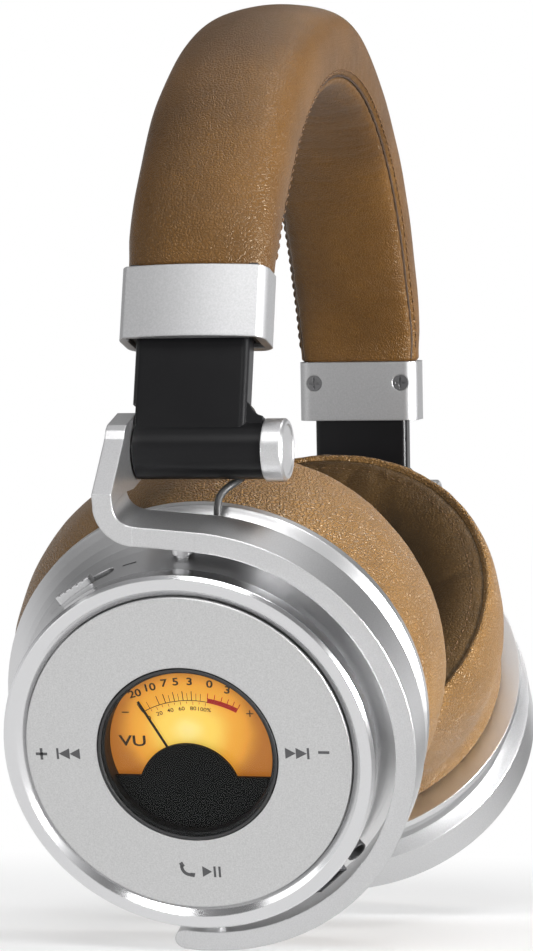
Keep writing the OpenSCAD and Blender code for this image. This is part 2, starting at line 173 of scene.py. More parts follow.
def tube(path, radius, sides, cap=True):
    """Round tube along world points; the radius, in mm, may vary from point to point"""
    path = np.asarray(path, float)
    count = len(path)
    radii = np.broadcast_to(np.asarray(radius, float) * MM, (count,))
    tangents = np.gradient(path, axis=0)
    tangents /= np.linalg.norm(tangents, axis=1)[:, None]
    upright = abs(tangents[0][2]) >= 0.9
    across = np.cross(tangents[0], vec([0, 1, 0] if upright else [0, 0, 1]))
    across /= np.linalg.norm(across)
    verts = []
    for centre, tangent, r in zip(path, tangents, radii):
        across = across - tangent * (across @ tangent)
        across /= np.linalg.norm(across)
        other = np.cross(tangent, across)
        for k in range(sides):
            a = TAU * k / sides
            verts.append(centre + r * (math.cos(a) * across + math.sin(a) * other))
    faces = grid_faces(count, sides, close_columns=True)
    if cap:
        faces.append(tuple(range(sides))[::-1])
        faces.append(tuple((count - 1) * sides + k for k in range(sides)))
    return verts, faces


# ---------------------------------------------------------------- shader nodes
MATERIALS = {}


class Nodes:
    """Adds nodes to a tree; inputs may be sockets, numbers or colours"""

    def __init__(self, tree):
        self.tree = tree

    def feed(self, socket, value):
        if value is None:
            return
        if isinstance(value, bpy.types.NodeSocket):
            self.tree.links.new(value, socket)
        elif socket.type == "RGBA":
            socket.default_value = (*value, 1)
        else:
            socket.default_value = value

    def add(self, kind, *inputs, **settings):
        """Inputs go by position; settings name an input or else an attribute"""
        node = self.tree.nodes.new(kind)
        for name, value in settings.items():
            if name in node.inputs:
                self.feed(node.inputs[name], value)
            else:
                setattr(node, name, value)
        for index, value in enumerate(inputs):
            self.feed(node.inputs[index], value)
        return node

    def ramp(self, factor, stops, interpolation="LINEAR"):
        """Stops are (position, grey level or colour)"""
        node = self.add("ShaderNodeValToRGB", factor)
        node.color_ramp.interpolation = interpolation
        elements = node.color_ramp.elements
        while len(elements) < len(stops):
            elements.new(0.5)
        for k, (position, colour) in enumerate(stops):
            elements[k].position = position
            rgb = colour if isinstance(colour, tuple) else (colour,) * 3
            elements[k].color = (*rgb, 1)
        return node.outputs["Color"]

    def mix_shader(self, factor, first, second):
        return self.add("ShaderNodeMixShader", factor, first, second).outputs[0]


class Material(Nodes):
    def __init__(self, name):
        material = MATERIALS[name] = bpy.data.materials.new(name)
        material.use_nodes = True
        super().__init__(material.node_tree)
        self.shader = self.tree.nodes["Principled BSDF"]
        self.position = self.add("ShaderNodeTexCoord").outputs["Object"]

    def set(self, **values):
        """Principled inputs, with underscores for the spaces in their names"""
        for name, value in values.items():
            self.feed(self.shader.inputs[name.replace("_", " ")], value)

    def surface(self, socket):
        self.feed(self.tree.nodes["Material Output"].inputs["Surface"], socket)

    def noise(self, scale, detail=3.0, roughness=0.55):
        node = self.add("ShaderNodeTexNoise", Scale=scale, Detail=detail,
                        Roughness=roughness, Vector=self.position)
        return node.outputs["Fac"]

    def math(self, operation, a, b=None):
        return self.add("ShaderNodeMath", a, b, operation=operation).outputs[0]

    def span(self, factor, low, width):
        """Spread a 0 to 1 factor over low .. low + width"""
        return self.math("ADD", self.math("MULTIPLY", factor, width), low)

    def mix(self, factor, first, second):
        node = self.add("ShaderNodeMix", factor, data_type="RGBA")
        self.feed(node.inputs[6], first)
        self.feed(node.inputs[7], second)
        return node.outputs[2]

    def bump(self, height, distance, normal=None):
        node = self.add("ShaderNodeBump", Strength=1.0, Distance=distance,
                        Height=height, Normal=normal)
        return node.outputs["Normal"]

    def bevel(self, radius):
        return self.add("ShaderNodeBevel", Radius=radius, samples=4).outputs["Normal"]


# ---------------------------------------------------------------- materials, lengths in metres
def srgb(*channels):
    """Linear colour from 0 to 255 display values"""
    def linear(c):
        return (c / 255 / 12.92) if c / 255 <= 0.04045 else ((c / 255 + 0.055) / 1.055) ** 2.4
    return tuple(linear(c) for c in channels)


def scaled(colour, factor):
    return tuple(min(1, x * factor) for x in colour)


def leather(name, light, dark, grain, depth, specular=0.38, sheen=0.04):
    """Mottled colour with warped cells as the grain; the cells' edges are lower, and darker in
    colour as grain tone and painted shade in the creases
    """
    mat = Material(name)
    mottle = mat.ramp(mat.noise(scale=38.0, detail=4.0), [(0.32, 0.0), (0.7, 1.0)])
    colour = mat.mix(mottle, dark, light)
    warp = mat.add("ShaderNodeTexNoise", Scale=420.0, Detail=2.0, Vector=mat.position)
    warp_amount = 0.0011
    warped = mat.add("ShaderNodeMixRGB", warp_amount, mat.position, warp.outputs["Color"],
                     blend_type="ADD").outputs[0]
    cells = mat.add("ShaderNodeTexVoronoi", feature="DISTANCE_TO_EDGE", Scale=grain,
                    Vector=warped).outputs["Distance"]
    cell = mat.ramp(cells, [(0.0, 0.0), (0.22, 0.85), (0.6, 1.0)])
    # darker cell edges: grain tone and painted shade in the grain's creases
    crease_shade_and_grain = mat.ramp(cell, [(0.0, 0.42), (0.5, 0.0)])
    mat.set(Base_Color=mat.mix(crease_shade_and_grain, colour, scaled(dark, 0.55)),
            Roughness=mat.span(mat.noise(scale=240.0), low=0.34, width=0.16),
            Specular_IOR_Level=specular, Specular_Tint=(1.0, 0.86, 0.66),
            Sheen_Weight=sheen, Sheen_Roughness=0.4)
    cell_share, pore_share = 0.8, 0.25
    height = mat.math("ADD", mat.math("MULTIPLY", cell, cell_share),
                      mat.math("MULTIPLY", mat.noise(scale=3600.0, detail=2.0), pore_share))
    uneven = mat.bump(mat.noise(scale=520.0, roughness=0.6), distance=0.00009)
    mat.set(Normal=mat.bump(height, depth, uneven))


def metal(name, base, roughness, variation, grain, depth, edge=0.0003, tone=0.05):
    """Fine-grained metal: tone is the colour's spread, edge the rounding of corners"""
    mat = Material(name)
    fine = mat.noise(scale=grain, detail=2.0, roughness=0.6)
    colour = mat.mix(mat.ramp(fine, [(0.3, 0.0), (0.72, 1.0)]),
                     scaled(base, 1 - tone), scaled(base, 1 + tone))
    mat.set(Base_Color=colour, Metallic=1.0,
            Roughness=mat.span(mat.noise(scale=26.0), roughness - variation / 2, variation),
            Normal=mat.bump(fine, depth, mat.bevel(edge)))


def plastic(name, base, roughness, variation=0.1, grain=2600.0, depth=6e-6, specular=0.5):
    mat = Material(name)
    broad = mat.noise(scale=60.0, detail=4.0)
    fine = mat.noise(scale=grain, detail=2.0)
    mat.set(Base_Color=mat.mix(broad, scaled(base, 0.8), scaled(base, 1.25)),
            Roughness=mat.span(broad, roughness - variation / 2, variation),
            Specular_IOR_Level=specular,
            Normal=mat.bump(fine, depth, mat.bevel(radius=0.00025)))


def cloth():
    """Two crossed sets of threads, along Y and Z"""
    mat = Material("woven_black_cloth")
    waves = [mat.add("ShaderNodeTexWave", Scale=420.0, bands_direction=axis,
                     Vector=mat.position).outputs["Fac"] for axis in "YZ"]
    weave = mat.math("MULTIPLY", *waves)
    mat.set(Base_Color=mat.mix(weave, (0.008, 0.008, 0.008), (0.045, 0.045, 0.045)),
            Roughness=0.85, Normal=mat.bump(weave, distance=0.0001))


def glass():
    mat = Material("clear_meter_glass")
    mat.tree.nodes.remove(mat.shader)
    clear = mat.add("ShaderNodeBsdfTransparent", Color=(0.96, 0.97, 0.97))
    gloss = mat.add("ShaderNodeBsdfGlossy", Color=(0.6, 0.6, 0.6),
                    Roughness=mat.span(mat.noise(scale=90.0), low=0.01, width=0.02))
    facing = mat.add("ShaderNodeFresnel", IOR=1.22)
    mat.surface(mat.mix_shader(facing.outputs[0], clear.outputs[0], gloss.outputs[0]))


def red_ink():
    mat = Material("red_scale_ink")
    colour = mat.mix(mat.noise(scale=400.0), (0.42, 0.012, 0.01), (0.55, 0.02, 0.015))
    mat.set(Base_Color=colour, Roughness=0.5, Emission_Color=colour, Emission_Strength=0.35)


def amber_dial(side):
    """Dial lit from behind: brightest above the middle, deeper orange to the edge"""
    mat = Material("amber_dial_" + side)
    origin, axes = CUPS[side]
    glow_radius = 15.5 * MM
    squares = []
    # the brightest point along the cup's X and Y, and how fast the light falls off each way
    for axis, centre, falloff in ((axes[0], 0.5 * SIDES[side], 1.0), (axes[1], 3.5, 1.15)):
        along = mat.add("ShaderNodeVectorMath", mat.position, tuple(axis),
                        operation="DOT_PRODUCT").outputs["Value"]
        offset = mat.math("SUBTRACT", along, float(origin @ axis + centre * MM))
        offset = mat.math("MULTIPLY", offset, falloff / glow_radius)
        squares.append(mat.math("MULTIPLY", offset, offset))
    distance = mat.math("SQRT", mat.math("ADD", *squares))
    centred = mat.math("SUBTRACT", mat.noise(scale=180.0, detail=2.0), 0.5)
    unevenness = 0.12
    distance = mat.math("ADD", distance, mat.math("MULTIPLY", centred, unevenness))
    glow = mat.ramp(distance, [(0.0, (1.0, 0.84, 0.30)), (0.3, (1.0, 0.68, 0.12)),
                               (0.65, (0.86, 0.37, 0.03)), (1.0, (0.42, 0.13, 0.01))], "EASE")
    mat.set(Base_Color=mat.mix(0.5, glow, (0.4, 0.2, 0.05)), Roughness=0.5,
            Emission_Color=glow, Emission_Strength=0.8)


leather("tan_leather_band", srgb(97, 66, 27), srgb(76, 50, 19), grain=1500.0, depth=0.00011)
leather("tan_leather_cushion", srgb(126, 92, 47), srgb(100, 71, 34), grain=1250.0,
        depth=0.00026, specular=0.5, sheen=0.08)
# the cushion's tan leather made darker for the face panel: painted shade
leather("tan_leather_panel", srgb(74, 53, 25), srgb(56, 39, 17), grain=1250.0,
        depth=0.00009, specular=0.25, sheen=0.05)

# name, colour, roughness, its variation, grain scale, grain depth, edge radius, tone spread
for metal_row in (
    ("satin_aluminium_plate", (0.60, 0.60, 0.60), 0.46, 0.05, 3300.0, 14e-6, 0.0003, 0.1),
    ("satin_aluminium_yoke", (0.64, 0.64, 0.645), 0.36, 0.06, 3600.0, 8e-6, 0.00045, 0.07),
    ("satin_aluminium_collar", (0.44, 0.44, 0.445), 0.5, 0.06, 2600.0, 12e-6, 0.0005, 0.08),
    ("turned_aluminium_shell", (0.70, 0.70, 0.705), 0.33, 0.05, 5200.0, 3e-6, 0.0003, 0.03),
    ("polished_aluminium_rim", (0.74, 0.74, 0.75), 0.17, 0.04, 5200.0, 2e-6, 0.0003, 0.02),
    ("dark_screw_steel", (0.2, 0.2, 0.205), 0.4, 0.1, 3000.0, 10e-6, 0.0001),
    ("screw_steel", (0.42, 0.42, 0.44), 0.3, 0.1, 3000.0, 10e-6, 0.0001),
    ("enamelled_copper", (0.55, 0.3, 0.15), 0.35, 0.1, 2400.0, 40e-6),
):
    metal(*metal_row)

plastic("seam_shadow_leather", srgb(52, 36, 22), roughness=0.7)
plastic("brown_thread", srgb(92, 66, 40), roughness=0.75, depth=30e-6)
plastic("black_mask_plastic", (0.004, 0.004, 0.004), roughness=0.5, specular=0.12)
plastic("black_satin_plastic", (0.005, 0.005, 0.0055), roughness=0.3, variation=0.12,
        specular=0.18)
plastic("black_matt_plastic", (0.02, 0.02, 0.021), roughness=0.55)
plastic("cable_rubber_sleeve", (0.018, 0.018, 0.018), roughness=0.5)
plastic("green_solder_mask", (0.03, 0.16, 0.08), roughness=0.3)
plastic("open_cell_foam", (0.6, 0.58, 0.5), roughness=0.9, depth=100e-6)
plastic("coated_cone", (0.06, 0.06, 0.07), roughness=0.5, grain=900.0, depth=20e-6)
plastic("engraved_grey", (0.055, 0.055, 0.058), roughness=0.55)
plastic("printed_dial_ink", (0.05, 0.022, 0.006), roughness=0.5)
cloth()
glass()
red_ink()
for side in SIDES:
    amber_dial(side)

# material -> CAD pieces, named without their side
PAINT = {
    "screw_steel": "spring_strip hinge_pin baffle_screws driver_motor plate_switches "
                   "charge_socket battery",
    "dark_screw_steel": "collar_screws",
    "satin_aluminium_plate": "face_plate",
    "satin_aluminium_yoke": "hinge_cap yoke power_switch",
    "satin_aluminium_collar": "collar",
    "turned_aluminium_shell": "pivot_pins shell",
    "polished_aluminium_rim": "rim",
    "enamelled_copper": "movement",
    "black_satin_plastic": "stem",
    "black_matt_plastic": "guide meter_housing needle baffle pad_ring jack_socket",
    "black_mask_plastic": "meter_mask",
    "clear_meter_glass": "meter_glass",
    "coated_cone": "diaphragm",
    "woven_black_cloth": "grille_cloth",
    "green_solder_mask": "circuit_board",
    "open_cell_foam": "band_foam",
    "cable_rubber_sleeve": "cable",
    "tan_leather_band": "band_cover band_pad",
    "tan_leather_cushion": "ear_pad",
}
paint = {piece: name for name, pieces in PAINT.items() for piece in pieces.split()}
for name, ob in nodes.items():
    piece, _, side = name.rpartition("_")
    if name.startswith("meter_dial"):
        material = "amber_dial_" + side
    else:
        material = paint.get(name) or paint[piece]
    ob.data.materials.clear()
    ob.data.materials.append(MATERIALS[material])

# ---------------------------------------------------------------- headband arch
# A crown arc between two shoulder arcs that run on from the stems. Its plane's (x, z) are
# measured from the middle of the two fold axes.
SHOULDER_RADIUS = 50.0
STEM_OUTSET = 1.5    # the stem's origin, outboard of the fold axis
ARCH_OUTSET = 1.0    # the arch's centreline, outboard of the fold axis
COVER_HEIGHT = 7.5   # top of the cover above the centreline
NOMINAL_HALF_WIDTH = 15.0  # of the section tables below

fold_right = vec(JOINTS["fold_right"]["pos_m"]) / MM
fold_left = vec(JOINTS["fold_left"]["pos_m"]) / MM
middle_x = (fold_right[0] + fold_left[0]) / 2
half_span = (fold_left[0] - fold_right[0]) / 2
stem = -unit(JOINTS["size_right"]["axis"])
lean = math.atan2(abs(stem[0]), abs(stem[2]))

collar = np.zeros(len(nodes["collar_right"].data.vertices) * 3)
nodes["collar_right"].data.vertices.foreach_get("co", collar)
stem_origin = fold_right - vec([STEM_OUTSET, 0, 0])
collar_top = ((collar.reshape(-1, 3) / MM - stem_origin) @ stem).max()

cover_low, cover_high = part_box("band_cover")
half_width = (cover_high.y - cover_low.y) / 2 / MM
crown = cover_high.z / MM - fold_right[2] - COVER_HEIGHT
arch_start = vec([-(half_span + ARCH_OUTSET - collar_top * math.sin(lean)),
                  collar_top * math.cos(lean)])
shoulder_centre = arch_start + SHOULDER_RADIUS * vec([math.cos(lean), -math.sin(lean)])
drop = crown - shoulder_centre[1]
crown_radius = ((shoulder_centre[0] ** 2 + drop * drop - SHOULDER_RADIUS ** 2)
                / (2 * (drop - SHOULDER_RADIUS)))
crown_centre = vec([0, crown - crown_radius])
joint_angle = math.atan2(shoulder_centre[1] - crown_centre[1], -shoulder_centre[0])
shoulder_length = SHOULDER_RADIUS * (joint_angle - lean)
LENGTH = 2 * shoulder_length + crown_radius * (math.pi - 2 * joint_angle)


def band_point(distance, out, across):
    """World point at a distance along the arch, a height off its centreline and a Y"""
    mirrored = distance > LENGTH / 2
    run = LENGTH - distance if mirrored else distance
    if run < shoulder_length:
        centre, radius = shoulder_centre, SHOULDER_RADIUS
        angle = lean + run / SHOULDER_RADIUS
    else:
        centre, radius = crown_centre, crown_radius
        angle = joint_angle + (run - shoulder_length) / crown_radius
    normal = vec([-math.cos(angle), math.sin(angle)])
    x, z = centre + radius * normal + normal * out
    if mirrored:
        x = -x
    return vec([middle_x + x, fold_right[1] + across, fold_right[2] + z]) * MM


def section(distance, out, across):
    """Section point at a distance: narrows to the collar's mouth at both ends"""
    end = min(distance, LENGTH - distance)

    def grow(least, reach):
        return least + (1 - least) * ease(end / reach)

    out *= grow(0.62, reach=26.0) if out < 0 else grow(0.9, reach=10.0)
    tuck = 0.75 * (1 - min(1.0, end / 0.9)) ** 2  # rounds the very end
    size = math.hypot(out, across)
    shrink = (size - tuck) / size if size > 1e-6 else 1
    width = grow(0.972, reach=8.0) * half_width / NOMINAL_HALF_WIDTH
    return out * shrink, across * width * shrink


# Half sections: height off the centreline, Y. Each is mirrored in Y.
HALF_COVER = [(-7.9, -13.4), (-7.55, -14.1), (-6.9, -14.75), (-5.4, -15.15), (-1.5, -15.35),
              (1.7, -14.9), (4.3, -13.5), (6.15, -10.7), (7.15, -7.0), (7.55, -3.3), (7.62, 0)]
HALF_PAD = [(-7.7, 13.3), (-8.2, 13.95), (-8.9, 13.9), (-9.8, 12.6), (-10.5, 9.5),
            (-10.9, 5.0), (-11.0, 0)]
END_STATIONS = vec([0, 0.15, 0.35, 0.6, 0.9])
STATIONS = np.r_[END_STATIONS, np.linspace(1.4, LENGTH - 1.4, 300), LENGTH - END_STATIONS[::-1]]


def band_skin(half, count, seed, creased):
    """Sweep a section along the arch, closed by a flat lining and two end faces"""
    whole = half + [(out, -y) for out, y in half[::-1][1:]]
    profile = resample(chaikin(whole, 3), count)
    verts = []
    for d in STATIONS:
        end = min(d, LENGTH - d)
        for j, (out, across) in enumerate(profile):
            out, across = section(d, out, across)
            steps_in = min(j, count - 1 - j)  # from the sewn edge
            calm = ease(steps_in / (count - 1) / 0.12) * ease(end / 5.0)
            # broad unevenness
            lift = 0.28 * soft_noise((d * 0.06, across * 0.09, out * 0.09), seed) * calm
            if out > 0:  # fuller at the crown
                lift += 1.3 * math.exp(-((d - LENGTH / 2) / 24.0) ** 2) * ease(out / 6.0)
            if creased:  # narrow creases across the band, on gentle waves
                fold = soft_noise((d * 0.30, across * 0.035, 0.0), seed + 9)
                lift -= 0.16 * max(0.0, 1 - abs(fold) * 9) * calm
                lift += 0.16 * soft_noise((d * 0.16, across * 0.02, 3.0), seed + 5) * calm
            # puckers along the sewn edge, 5.2 mm apart
            fade = math.exp(-steps_in / 5.0) * ease(end / 4.0)
            drift = 2.2 * soft_noise((d * 0.1, j, 1.0), seed)
            lift += 0.10 * fade * math.sin(d * TAU / 5.2 + drift)
            size = math.hypot(out, across) or 1
            verts.append(band_point(d, out + lift * out / size, across + lift * across / size))
    rows = len(STATIONS)
    faces = grid_faces(rows, count)
    for a in range(0, (rows - 1) * count, count):
        faces.append((a, a + count - 1, a + 2 * count - 1, a + count))
    faces.append(tuple(range(count)))
    faces.append(tuple((rows - 1) * count + k for k in range(count))[::-1])
    return verts, faces


def band_stitch(start, edge, length=1.75):
    """One thread along the cover's edge, bowed outward; edge is the sign of Y"""
    points = []
    for k in range(5):
        d = start + length * k / 4
        out, across = section(d, -6.55, edge * 14.93)
        bow = -0.04 + 0.12 * math.sin(math.pi * k / 4)
        points.append(band_point(d, out - 0.1 * (k - 2) / 2, across + edge * bow))
    return tube(points, [0.08, 0.16, 0.18, 0.16, 0.08], sides=6)


def band_welt(edge):
    """Thin roll where the cover meets the pad"""
    points = [band_point(d, *section(d, -7.75, edge * 13.95))
              for d in np.linspace(0.6, LENGTH - 0.6, 300)]
    return tube(points, 0.34, sides=6)


STITCH_PITCH = 2.55
STITCH_MARGIN = 4.0  # bare length at each end
stitch_starts = np.arange(STITCH_MARGIN, LENGTH - STITCH_MARGIN, STITCH_PITCH)
cover = band_skin(HALF_COVER, count=91, seed=3.1, creased=False)
pad = band_skin(HALF_PAD, count=61, seed=8.7, creased=True)
stitches = join(band_stitch(start, edge) for edge in (-1, 1) for start in stitch_starts)
welt = join(band_welt(edge) for edge in (-1, 1))
for name, part, material, replaced in (
    ("headband_leather_cover", cover, "tan_leather_band", "band_cover"),
    ("headband_leather_pad", pad, "tan_leather_band", "band_pad"),
    ("headband_stitches", stitches, "brown_thread", None),
    ("headband_seam_welt", welt, "seam_shadow_leather", None),
):
    attach(link(name, part, material), "headband", replaced)

# ---------------------------------------------------------------- ear cushions
# Section turned about the cup's Z: radius, Z. From the cup, round the outside to the seam on
# the head's side, then over the face panel and back through the opening.
CUSHION_SECTION = [
    (35.9, -25.3), (35.8, -22.4), (36.6, -21.6), (38.6, -22.0), (41.2, -24.6), (43.4, -29.0),
    (45.2, -35.0), (46.1, -41.0), (46.4, -46.5), (46.3, -50.4), (45.8, -53.1), (45.0, -54.6),
    (44.1, -54.8), (43.5, -54.0), (43.1, -52.9),
    (42.6, -53.8), (41.0, -54.8), (37.6, -55.1), (33.6, -54.4), (29.8, -52.7), (26.5, -50.0),
    (24.0, -46.3), (22.3, -41.8), (21.5, -36.0), (21.6, -30.0), (22.6, -26.8), (24.5, -25.6),
    (28.0, -25.4), (33.0, -25.35)]
SEAM_POINT = CUSHION_SECTION[14]
AROUND, SECTION_POINTS = 224, 84
SIM_SCALE = 12.0  # simulated this much larger, so the cloth's masses behave
TILT = math.radians(3.0)
TILT_Z = -25.2    # plane the cushion leans from
SHIFT_REAR, SHIFT_DOWN = 2.0, 0.6

section_line = resample(chaikin(CUSHION_SECTION, 2), SECTION_POINTS)
SEAM = int(np.argmin(np.abs(section_line - vec(SEAM_POINT)).sum(1)))
cushion_faces = grid_faces(AROUND, SECTION_POINTS, True, True)


def inflate(points):
    """Puff the cushion as cloth under pressure, pinned at the cup and along the seam"""
    jitter = np.array([0.12 * soft_noise(p * 0.22, 4.0) for p in points])
    radial = points * vec([1, 1, 0])
    start = points + jitter[:, None] * radial / np.linalg.norm(radial, axis=1)[:, None]
    mesh = bpy.data.meshes.new("sim")
    mesh.from_pydata([tuple(v) for v in start * SIM_SCALE * MM], [], cushion_faces)
    ob = bpy.data.objects.new("sim", mesh)
    scene.collection.objects.link(ob)
    pin = ob.vertex_groups.new(name="pin")
    for j, (_, z) in enumerate(section_line):
        weight = 0.6 if abs(j - SEAM) == 1 else 0.0
        if z > (-24.5 if j < SEAM else -26.6) or j == SEAM:
            weight = 1.0
        if weight:
            ring = [i * SECTION_POINTS + j for i in range(AROUND)]
            pin.add(ring, weight, "REPLACE")
    modifier = ob.modifiers.new("Cloth", "CLOTH")
    settings = modifier.settings
    settings.quality = 6
    settings.mass = 0.25
    settings.vertex_group_mass = "pin"
    settings.use_pressure = True
    settings.uniform_pressure_force = 2.2
    settings.shrink_min = -0.012
    settings.shrink_max = -0.012
    settings.tension_stiffness = 22
    settings.compression_stiffness = 22
    settings.bending_stiffness = 1.2
    settings.effector_weights.gravity = 0
    modifier.collision_settings.use_collision = False
    modifier.point_cache.frame_start = 1
    modifier.point_cache.frame_end = 26
    bpy.context.view_layer.update()
    for number in range(1, 25):
        scene.frame_set(number)
    result = ob.evaluated_get(bpy.context.evaluated_depsgraph_get()).to_mesh()
    co = np.zeros(len(result.vertices) * 3)
    result.vertices.foreach_get("co", co)
    move = co.reshape(-1, 3) / (SIM_SCALE * MM) - points
    size = np.linalg.norm(move, axis=1)
    share, most = 0.5, 0.7  # part of the movement kept, and its limit
    move *= np.minimum(share, most / np.maximum(size, 1e-9))[:, None]
    bpy.data.objects.remove(ob)
    scene.frame_set(1)
    return points + move


def tilted(rest_z, point, outer):
    """Lean and shift the cushion, leaving it flat where it meets the cup"""
    weight = ease((-21.8 - rest_z) / 7.0) if outer else ease((-25.5 - rest_z) / 6.0)
    x, y, z = point
    z -= TILT_Z
    moved = vec([x * math.cos(TILT) + z * math.sin(TILT) - SHIFT_REAR, y - SHIFT_DOWN,
                 TILT_Z + z * math.cos(TILT) - x * math.sin(TILT)])
    return point * (1 - weight) + moved * weight


def cushion_grid():
    """Cushion points [around, along the section]: puffed, puckered at the seam and tilted"""
    angles = [TAU * i / AROUND for i in range(AROUND)]
    points = np.array([(r * math.cos(a), r * math.sin(a), z)
                       for a in angles for r, z in section_line])
    points = inflate(points)
    grid = points.reshape(AROUND, SECTION_POINTS, 3)
    normals = np.cross(np.roll(grid, -1, 0) - np.roll(grid, 1, 0),
                       np.roll(grid, -1, 1) - np.roll(grid, 1, 1))
    normals /= np.linalg.norm(normals, axis=2)[:, :, None] + 1e-9
    # a point on the outside wall shows which way the normals face
    normals *= np.sign(normals[0, SEAM - 20, 0] or 1)
    for i, a in enumerate(angles):
        x, y = math.cos(a), math.sin(a)
        drift = 1.6 * soft_noise((x * 2.2, y * 2.2, 0.5), 2.0)
        for j, (radius, z) in enumerate(section_line):
            from_seam = abs(j - SEAM)
            panel = j > SEAM
            free = ease(((-23.0 if j < SEAM else -25.6) - z) / 3.0)  # 0 at the cup
            lift = 0.0
            if from_seam:  # 64 sewn puckers
                fade = math.exp(-(from_seam - 1) / 3.5)
                lift += (0.12 if panel else 0.07) * fade * math.sin(64 * a + 3 * drift)
            if panel:  # soft pleats
                fold = soft_noise((x * 3.1, y * 3.1, radius * 0.03 + 1.5), 6.0)
                lift -= 0.42 * max(0.0, 1 - abs(fold) * 8) * ease(from_seam / 5.0) * free
            # broad unevenness
            lift += 0.22 * soft_noise(grid[i, j] * 0.12, 1.0) * free * ease(from_seam / 3.0)
            grid[i, j] = tilted(z, grid[i, j] + normals[i, j] * lift, j < SEAM)
    return grid


def seam_stitch(side, grid, number, count=150):
    """One thread on the face panel, three section steps in from the seam"""
    points = []
    for t in range(4):
        place = (number + 0.6 * t / 3) / count * AROUND
        i = int(place)
        part = place - i
        i %= AROUND
        point = grid[i, SEAM + 3] * (1 - part) + grid[(i + 1) % AROUND, SEAM + 3] * part
        points.append(cup(side, point + vec([0, 0, 0.02 - 0.06 * math.sin(math.pi * t / 3)])))
    return tube(points, [0.06, 0.12, 0.12, 0.06], sides=6)


def on_panel(quad):
    columns = [v % SECTION_POINTS for v in quad]
    return int(SEAM <= min(columns) and max(columns) < SECTION_POINTS - 1)


def build_cushion(side, grid):
    piece = "cup_" + side
    ob = link("ear_cushion_" + side, (cup(side, grid.reshape(-1, 3)), cushion_faces),
              "tan_leather_cushion")
    # the face panel takes the darker leather, as painted shade
    ob.data.materials.append(MATERIALS["tan_leather_panel"])
    ob.data.polygons.foreach_set("material_index", [on_panel(f) for f in cushion_faces])
    subdivision = ob.modifiers.new("Subdivision", "SUBSURF")
    subdivision.levels = subdivision.render_levels = 1
    attach(ob, piece, "ear_pad_" + side)

    ring = grid[:, SEAM] + vec([0, 0, 0.25])
    ring = np.concatenate([ring, ring[:1]])
    roll = tube(cup(side, ring), 0.35, sides=6, cap=False)
    attach(link("ear_cushion_seam_" + side, roll, "seam_shadow_leather"), piece)
    threads = join(seam_stitch(side, grid, k) for k in range(150))
    attach(link("ear_cushion_stitches_" + side, threads, "brown_thread"), piece)


right_grid = cushion_grid()
build_cushion("right", right_grid)
build_cushion("left", right_grid * vec([1, -1, 1]))  # turned over in Y

# ---------------------------------------------------------------- cables
# From under the fold barrel down into the cup's top: cup-frame offsets from the fold joint
CABLE_PATH = [(10.6, -4.9, 0.6), (9.4, -6.0, 0.9), (8.0, -6.75, 1.7), (6.9, -7.3, 3.0),
              (6.1, -8.2, 4.6), (5.9, -9.6, 5.8), (5.9, -11.2, 6.4), (5.9, -13.0, 6.7),
              (5.9, -16.2, 6.7)]
CABLE_RADIUS = 0.78
for side in SIDES:
    origin, axes = CUPS[side]
    fold = (vec(JOINTS["fold_" + side]["pos_m"]) - origin) @ axes.T / MM
    path = resample(chaikin(cup(side, fold + vec(CABLE_PATH)), 3), 48)
    lead = link("cable_lead_" + side, tube(path, CABLE_RADIUS, sides=14), "cable_rubber_sleeve")
    attach(lead, "cup_" + side, "cable_" + side)


# ---------------------------------------------------------------- flat shapes: 2-D parts
def lay(parts, side, height):
    """Place 2-D parts on a cup's outer face"""
    verts, faces = join(parts)
    return [face(side, x, y, height) for x, y in verts], faces


def lettering(text, centre, size, wide, turn, bold):
    """Filled letters of a given height, widened and turned (radians) about their centre"""
    curve = bpy.data.curves.new("t", "FONT")
    curve.body = text
    curve.size = 1.0
    curve.align_x = "CENTER"
    curve.align_y = "CENTER"
    curve.offset = bold
    curve.resolution_u = 4
    ob = bpy.data.objects.new("t", curve)
    scene.collection.objects.link(ob)
    bpy.context.view_layer.update()
    depsgraph = bpy.context.evaluated_depsgraph_get()
    mesh = bpy.data.meshes.new_from_object(ob.evaluated_get(depsgraph))
    points = vec([v.co[:2] for v in mesh.vertices])
    faces = [tuple(p.vertices) for p in mesh.polygons]
    bpy.data.objects.remove(ob)
    low, high = points.min(0), points.max(0)
    scale = size / (high[1] - low[1])
    cos, sin = math.cos(turn), math.sin(turn)
    verts = []
    for x, y in (points - (low + high) / 2) * scale:
        x *= wide
        verts.append((centre[0] + x * cos - y * sin, centre[1] + x * sin + y * cos))
    return verts, faces


def bar(start, end, width):
    start, end = vec(start), vec(end)
    along = unit(end - start)
    side_step = vec([-along[1], along[0]]) * width / 2
    verts = [start - side_step, end - side_step, end + side_step, start + side_step]
    return verts, [(0, 1, 2, 3)]


def triangle(x, y, reach, height=2.0):
    """Upright base at x, tip at x + reach"""
    return [(x, y - height / 2), (x, y + height / 2), (x + reach, y)], [(0, 1, 2)]


# ---------------------------------------------------------------- dial markings
ARC_CENTRE = (0.2, -9.8)
# Degrees clockwise from up, about the arc's centre
SCALE_START, RED_START, RED_END = -30.2, 10.3, 28.5
TICK_FOOT = 19.5
TICKS = (-30.2, -25.0, -18.6, -14.6, -11.8, -9.0, -6.4, -3.8, -1.3, 1.2, 3.8, 6.3)
LONG_TICKS = (0, 2, 3, 5, 7, 9)
RED_TICKS = (10.3, 14.2, 18.2, 21.8, 25.2, 28.4)
